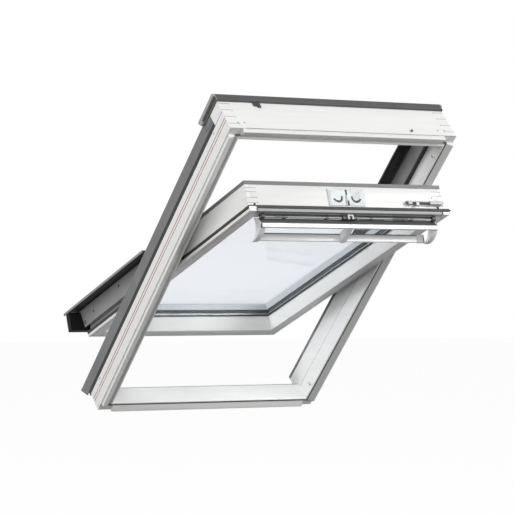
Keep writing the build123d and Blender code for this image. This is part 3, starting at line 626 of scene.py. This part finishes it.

# Head casing and hoods: dark front, light strip over a web painted dark as shade
hood = {"casingEase": 2.2, "ease": 0.9, "web": 393}
refinePart("head_casing", framePlace, ["casing"], "frame", hood["casingEase"])
for node in ("head_hood_left", "head_hood_right"):
    refinePart(node, framePlace, ["hood", "casing"], "frame", hood["ease"],
               pick=lambda middle, normal: int(abs(middle.x) < hood["web"]))

# Upper covers: grey outside, and black painted shade on the faces that look down into the room
coverEase = 0.5
for node in ("upper_cover_left", "upper_cover_right"):
    refinePart(node, framePlace, ["cladding", "underside"], "frame", coverEase,
               pick=pickUnderside)
print("cladding detailed")

# Bulb of the seal round the sash flange, standing a little proud of its edge
bulb = {"side": 344, "top": -539, "low": 551, "heights": (37, 47), "proud": 1.6, "in": 2.5,
        "sideStart": -537, "stripEnd": 318, "ease": 1.5,
        "tail": ((338, -540, 41), (351, -534, 44)), "tailEase": 1}


def makeSealBulb():
    bm = bmesh.new()
    side, top, low, ease = bulb["side"], bulb["top"], bulb["low"], bulb["ease"]
    proud, inward = bulb["proud"], bulb["in"]
    z0, z1 = bulb["heights"]
    for sign in (-1, 1):
        x0, x1 = mirrored(sign, side - inward, side + proud)
        addBar(bm, (x0, bulb["sideStart"], z0), (x1, low, z1), sashPlace, ease)
    addBar(bm, (-bulb["stripEnd"], top - proud, z0), (side + proud, top + inward, z1),
           sashPlace, ease)
    addBar(bm, (-side, low - inward, z0), (side, low + proud, z1), sashPlace, ease)
    addBar(bm, *bulb["tail"], sashPlace, bulb["tailEase"])
    endPiece(bm, "seal_bulb", ["seal"], "sash")


makeSealBulb()

# Sash head: comb joint lines, and dark notches beside the strip caps and a small dark hole over the
# bolt, painted shade standing for these recesses
headMarks = {"front": -524, "side": 338, "in": 302, "heights": (60, 75.9, 93.5, 106.7),
             "line": 1.2, "notches": (((-321, -540, 28), (-317.5, -538, 37)),
                                      ((-318.5, -527, 47), (-313.5, -523.9, 58))),
             "notchEase": 0.3, "hole": (302, 87), "holeRadius": 2, "holeSink": 1,
             "holeRise": 0.15}


def makeHeadMarks():
    bm = bmesh.new()
    front, half, ease = headMarks["front"], headMarks["line"] / 2, headMarks["notchEase"]
    for sign in (-1, 1):
        across = mirrored(sign, headMarks["in"], headMarks["side"])
        for height in headMarks["heights"]:
            addFrontLine(bm, across, (height - half, height + half), front, sashPlace)
    for (x0, y0, z0), (x1, y1, z1) in headMarks["notches"]:
        addBar(bm, (x0, y0, z0), (x1, y1, z1), sashPlace, ease, 1)
        addBar(bm, (-x1, y0, z0), (-x0, y1, z1), sashPlace, ease, 1)
    x, z = headMarks["hole"]
    addRod(bm, (x, front + headMarks["holeSink"], z), (x, front - headMarks["holeRise"], z),
           headMarks["holeRadius"], sashPlace, material=1)
    endPiece(bm, "sash_head_marks", ["jointAndShadeLine", "seal"], "sash")


makeHeadMarks()

# Lower half of the sash sides: two strips under the side plates, and in the plates dark discs of
# painted shade where the holes are, and a ring screw
sideStrips = {"side": 338, "sink": 1, "run": (45, 534), "ease": 0.6,
              "strips": ((56, 66, 2), (48, 55.5, 3)), "plate": 341,
              "holes": ((494.5, 95.8), (303.7, 111.6)), "holeRadius": 5, "holeRise": 0.2,
              "ring": (562, 82), "ringRadius": 5.5, "ringWidth": 2.2, "ringSink": 0.3,
              "ringRise": 0.9, "screwRise": 0.5}


def makeSideStrips():
    bm = bmesh.new()
    side, face = sideStrips["side"], sideStrips["plate"]
    y0, y1 = sideStrips["run"]
    for sign in (-1, 1):
        for index, (z0, z1, thick) in enumerate(sideStrips["strips"]):
            x0, x1 = mirrored(sign, side - sideStrips["sink"], side + thick)
            addBar(bm, (x0, y0, z0), (x1, y1, z1), sashPlace, sideStrips["ease"], index)
        root = sign * (face - sideStrips["sink"])
        for y, z in sideStrips["holes"]:
            addRod(bm, (root, y, z), (sign * (face + sideStrips["holeRise"]), y, z),
                   sideStrips["holeRadius"], sashPlace)
        y, z = sideStrips["ring"]
        addArc(bm, (sign * (face - sideStrips["ringSink"]), y, z), sideStrips["ringRadius"],
               sideStrips["ringWidth"], sideStrips["ringRise"], (0, 360), (sign, 0, 0), sashPlace)
        addRod(bm, (root, y, z), (sign * (face + sideStrips["screwRise"]), y, z),
               sideStrips["ringRadius"] - sideStrips["ringWidth"], sashPlace, material=1)
    endPiece(bm, "side_strips", ["seal", "cladding"], "sash")


makeSideStrips()

# Bottom sheet: black on its ends, underside and inner edge
bottomSheet = {"ease": 0.5, "steep": 0.5}


def pickHidden(middle, normal):
    steep = bottomSheet["steep"]
    return int(abs(normal.x) > steep or normal.z < faceDown or normal.y < -steep)


refinePart("bottom_sheet", sashPlace, ["cladding", "apron"], "sash",
           bottomSheet["ease"], pick=pickHidden)

# Wings: black painted shade on the underside
wingEase = 0.6
for node in ("side_wing_left", "side_wing_right"):
    refinePart(node, sashPlace, ["wing", "underside"], "sash", wingEase,
               pick=pickUnderside)

# Outer trims: a painted highlight, pale on the edges that stand round the glass
trim = {"ease": 0.6, "sideInward": -100, "endInward": -200}


def pickInward(middle, normal):
    return int(normal.x * middle.x < trim["sideInward"] or normal.y * middle.y < trim["endInward"])


for node in ("side_trim_left", "side_trim_right", "head_trim", "bottom_trim"):
    refinePart(node, sashPlace, ["cladding", "trimHighlight"], "sash", trim["ease"],
               pick=pickInward)

# Fine line along the sash's room faces, just inside the flange
faceLine = {"opening": (334.5, -521, 541), "width": 1.6, "heights": (28.25, 28.9)}
bm = bmesh.new()
addRing(bm, faceLine["opening"], faceLine["width"], faceLine["heights"], sashPlace)
endPiece(bm, "sash_face_line", ["jointAndShadeLine"], "sash")

# Glass edge: a black lip at the reveal and a black band along the spacer next to the outer pane
glassEdge = {"lip": (302, -486, 498), "lipIn": 3.5, "lipHeights": (76.6, 80.2),
             "band": (310, -496, 508), "bandIn": 0.5, "bandHeights": (92.5, 100.2)}
bm = bmesh.new()
addRing(bm, glassEdge["lip"], glassEdge["lipIn"], glassEdge["lipHeights"], sashPlace)
addRing(bm, glassEdge["band"], glassEdge["bandIn"], glassEdge["bandHeights"], sashPlace)
endPiece(bm, "glass_edge_seals", ["seal"], "sash")
print("sash sides and glass edge detailed")

# Lock plate: painted shade in a dark backing sheet seen through its slots and in dark arcs that
# lengthen the kidney slots, and a bent clip at the foot of the middle slot with painted shade
# between its legs
lock = {"shadeBacking": ((-58, -524.5, 58.5), (58, -523.8, 107.5)), "shadeEase": 0.2,
        "clipLegs": (((-5.5, -530.2, 56.5), (-2.9, -526.5, 73)),
                     ((3.5, -530.2, 56.5), (6.1, -526.5, 73))), "legEase": 0.7,
        "clipBow": ((-5, -530.2, 71), (5.6, -526.5, 76)), "bowEase": 1.2,
        "clipShade": ((-2.5, -527.3, 56.5), (3.1, -526.5, 70.5)),
        "slot": (32, -526.7, 84), "slotRadius": 15, "slotWidth": 6, "slotRise": 0.4,
        "slotTurns": {-1: (205, 278), 1: (262, 335)}}


def makeLockSlotShade():
    bm = bmesh.new()
    addBar(bm, *lock["shadeBacking"], sashPlace, lock["shadeEase"])
    for low, high in lock["clipLegs"]:
        addBar(bm, low, high, sashPlace, lock["legEase"], 1)
    addBar(bm, *lock["clipBow"], sashPlace, lock["bowEase"], 1)
    addBar(bm, *lock["clipShade"], sashPlace, lock["shadeEase"])
    x, y, z = lock["slot"]
    for sign in (-1, 1):
        addArc(bm, (sign * x, y, z), lock["slotRadius"], lock["slotWidth"], lock["slotRise"],
               lock["slotTurns"][sign], (0, -1, 0), sashPlace)
    endPiece(bm, "lock_slot_shade_and_clip", ["seal", "zinc"], "sash")


makeLockSlotShade()

# Bolt: rounded guides, a dark rod with a bright flag
bolt = {"guideEase": 1.6, "rodEase": 0.5, "flag": (233, 244)}
refinePart("bolt_housing", sashPlace, ["boltSteel"], "sash", bolt["guideEase"])
refinePart("bolt_rod", sashPlace, ["darkSteel", "zinc"], "bolt", bolt["rodEase"],
           pick=lambda middle, normal: int(bolt["flag"][0] < middle.x < bolt["flag"][1]))
print("lock and bolt detailed")

# Vent: pale inserts in the grille's slots and a dark bearing behind the catch
vent = {"slots": 6, "half": 284, "share": 0.72, "middle": -509, "width": 12.4,
        "heights": (25.4, 26.6), "ease": 0.3, "bearing": ((-26, -524, 14.6), (26, -513.2, 24.4)),
        "bearingEase": 1.5}


def makeGrilleInserts():
    bm = bmesh.new()
    pitch = 2 * vent["half"] / vent["slots"]
    half = vent["share"] * pitch / 2
    y0, y1 = vent["middle"] - vent["width"] / 2, vent["middle"] + vent["width"] / 2
    z0, z1 = vent["heights"]
    for index in range(vent["slots"]):
        x = (index + 0.5) * pitch - vent["half"]
        addBar(bm, (x - half, y0, z0), (x + half, y1, z1), sashPlace, vent["ease"])
    addBar(bm, *vent["bearing"], sashPlace, vent["bearingEase"], 1)
    endPiece(bm, "grille_inserts", ["palePlastic", "blackPlastic"], "sash")


makeGrilleInserts()

# Springs on the flap's rod
spring = {"rod": (-518, 20.4), "runs": ((-256, -208), (150, 205)), "radius": 2.6, "pitch": 2.6,
          "wire": 1.1}


def makeRodSprings():
    bm = bmesh.new()
    for start, end in spring["runs"]:
        for index in range(int((end - start) / spring["pitch"])):
            addArc(bm, (start + index * spring["pitch"], *spring["rod"]), spring["radius"],
                   spring["wire"], spring["wire"], (0, 360), (1, 0, 0), sashPlace)
    endPiece(bm, "rod_springs", ["spring"], "flap")


makeRodSprings()

# Flap: grey facet with a white rounded nose
flap = {"ease": 0.9, "noseHeight": -1, "noseFront": -514}


def pickNose(middle, normal):
    return int(middle.z < flap["noseHeight"] and middle.y < flap["noseFront"])


refinePart("vent_flap", sashPlace, ["facet", "gloss"], "flap", flap["ease"],
           pick=pickNose)

# Handle bar: white, with a grey line along the top of its front, an end sleeve and a dark ring
grip = {"ease": 1.8, "barLine": ((-287.5, -466.2, -11.6), (287.5, -464.6, -8.6)), "barLineEase": 0.4,
        "sleeve": ((262, -466.6, -32.7), (283, -456.5, -6.7)), "sleeveEase": 2,
        "ring": ((284, -465.9, -32.2), (287, -457.2, -7.2)), "ringEase": 1.5}
refinePart("handle_bar", sashPlace, ["gloss"], "flap", grip["ease"])
bm = bmesh.new()
addBar(bm, *grip["barLine"], sashPlace, grip["barLineEase"])
addBar(bm, *grip["sleeve"], sashPlace, grip["sleeveEase"], 1)
addBar(bm, *grip["ring"], sashPlace, grip["ringEase"], 2)
endPiece(bm, "grip_line_and_sleeve", ["barLine", "whitePlastic", "blackPlastic"], "flap")
print("vent, flap and bar detailed")

# Camera at the photograph's place, to the left and a little below the window's middle
cameraPlace = {"location": (-3.838, -6.883, 0.344), "turn": (90.816, 0, -30.41), "lens": 171.3,
               "sensor": 36}
cameraData = bpy.data.cameras.new("camera")
cameraData.lens = cameraPlace["lens"]
cameraData.sensor_width = cameraPlace["sensor"]
camera = bpy.data.objects.new("camera", cameraData)
camera.location = cameraPlace["location"]
camera.rotation_euler = [math.radians(angle) for angle in cameraPlace["turn"]]
scene.collection.objects.link(camera)
scene.camera = camera

# White studio: pale floor well below the window, soft lamps and an even world
studio = {"floorDrop": 0.45, "floorSize": 30, "floorPale": 0.9, "floorBounce": 0.1,
          "floorWhite": 0.97, "ambient": 0.25}
lampShape = {"aim": (0, -0.3, 0.5), "size": 3.0}
lamps = {"camera": {"place": (-4.4, -7.9, 2.5), "power": 200},
         "right": {"place": (5.4, -6.15, 4.55), "power": 355},
         "left": {"place": (-8.82, -0.3, 2.03), "power": 150},
         "leftHigh": {"place": (-6.75, -0.3, 6.44), "power": 170},
         "rear": {"place": (-5.4, 3.75, 6.44), "power": 250},
         "low": {"place": (3.6, -8.4, 0.68), "power": 130}}


def greyTone(level):
    return (level, level, level, 1)


# How much of the white background a ray sees: all of it for the camera, gloss and glass
def backgroundShare(tree):
    path = newNode(tree, "LightPath")
    direct = newNode(tree, "Math", operation="MAXIMUM")
    seen = newNode(tree, "Math", operation="MAXIMUM")
    tree.links.new(path.outputs["Is Camera Ray"], direct.inputs[0])
    tree.links.new(path.outputs["Is Glossy Ray"], direct.inputs[1])
    tree.links.new(direct.outputs["Value"], seen.inputs[0])
    tree.links.new(path.outputs["Is Transmission Ray"], seen.inputs[1])
    return seen.outputs["Value"]


def makeFloor():
    mesh = bpy.data.meshes.new("floor")
    bm = bmesh.new()
    height = cadBox[0].z - studio["floorDrop"]
    bmesh.ops.create_grid(bm, x_segments=1, y_segments=1, size=studio["floorSize"],
                          matrix=Matrix.Translation((0, 0, height)))
    bm.to_mesh(mesh)
    bm.free()
    floor = bpy.data.objects.new("floor", mesh)
    scene.collection.objects.link(floor)
    material, tree = newMaterial("pale_floor")
    tree.nodes.clear()
    shade = newNode(tree, "BsdfDiffuse")
    tint = newNode(tree, "Mix", data_type="RGBA")
    tint.inputs["A"].default_value = greyTone(studio["floorBounce"])
    tint.inputs["B"].default_value = greyTone(studio["floorPale"])
    white = newNode(tree, "Emission")
    mix = newNode(tree, "MixShader")
    out = newNode(tree, "OutputMaterial")
    seen = backgroundShare(tree)
    whiteness = newNode(tree, "Math", operation="MULTIPLY")
    whiteness.inputs[1].default_value = studio["floorWhite"]
    tree.links.new(seen, whiteness.inputs[0])
    tree.links.new(seen, tint.inputs["Factor"])
    tree.links.new(tint.outputs["Result"], shade.inputs["Color"])
    tree.links.new(whiteness.outputs["Value"], mix.inputs["Fac"])
    tree.links.new(shade.outputs["BSDF"], mix.inputs[1])
    tree.links.new(white.outputs["Emission"], mix.inputs[2])
    tree.links.new(mix.outputs["Shader"], out.inputs["Surface"])
    setFinish(floor, material)


def makeWorld():
    world = bpy.data.worlds.new("studio")
    world.use_nodes = True
    tree = world.node_tree
    tree.nodes.clear()
    ambient = newNode(tree, "Background")
    ambient.inputs["Color"].default_value = greyTone(studio["ambient"])
    white = newNode(tree, "Background")
    white.inputs["Color"].default_value = greyTone(1)
    mix = newNode(tree, "MixShader")
    out = newNode(tree, "OutputWorld")
    tree.links.new(backgroundShare(tree), mix.inputs["Fac"])
    tree.links.new(ambient.outputs["Background"], mix.inputs[1])
    tree.links.new(white.outputs["Background"], mix.inputs[2])
    tree.links.new(mix.outputs["Shader"], out.inputs["Surface"])
    scene.world = world


def makeLamps():
    for name, lamp in lamps.items():
        data = bpy.data.lights.new(name, "AREA")
        data.shape = "SQUARE"
        data.size = lampShape["size"]
        data.energy = lamp["power"]
        light = bpy.data.objects.new(name, data)
        light.location = lamp["place"]
        toward = Vector(lampShape["aim"]) - light.location
        light.rotation_euler = toward.to_track_quat("-Z", "Y").to_euler()
        scene.collection.objects.link(light)


makeFloor()
makeWorld()
makeLamps()
print("studio lit")
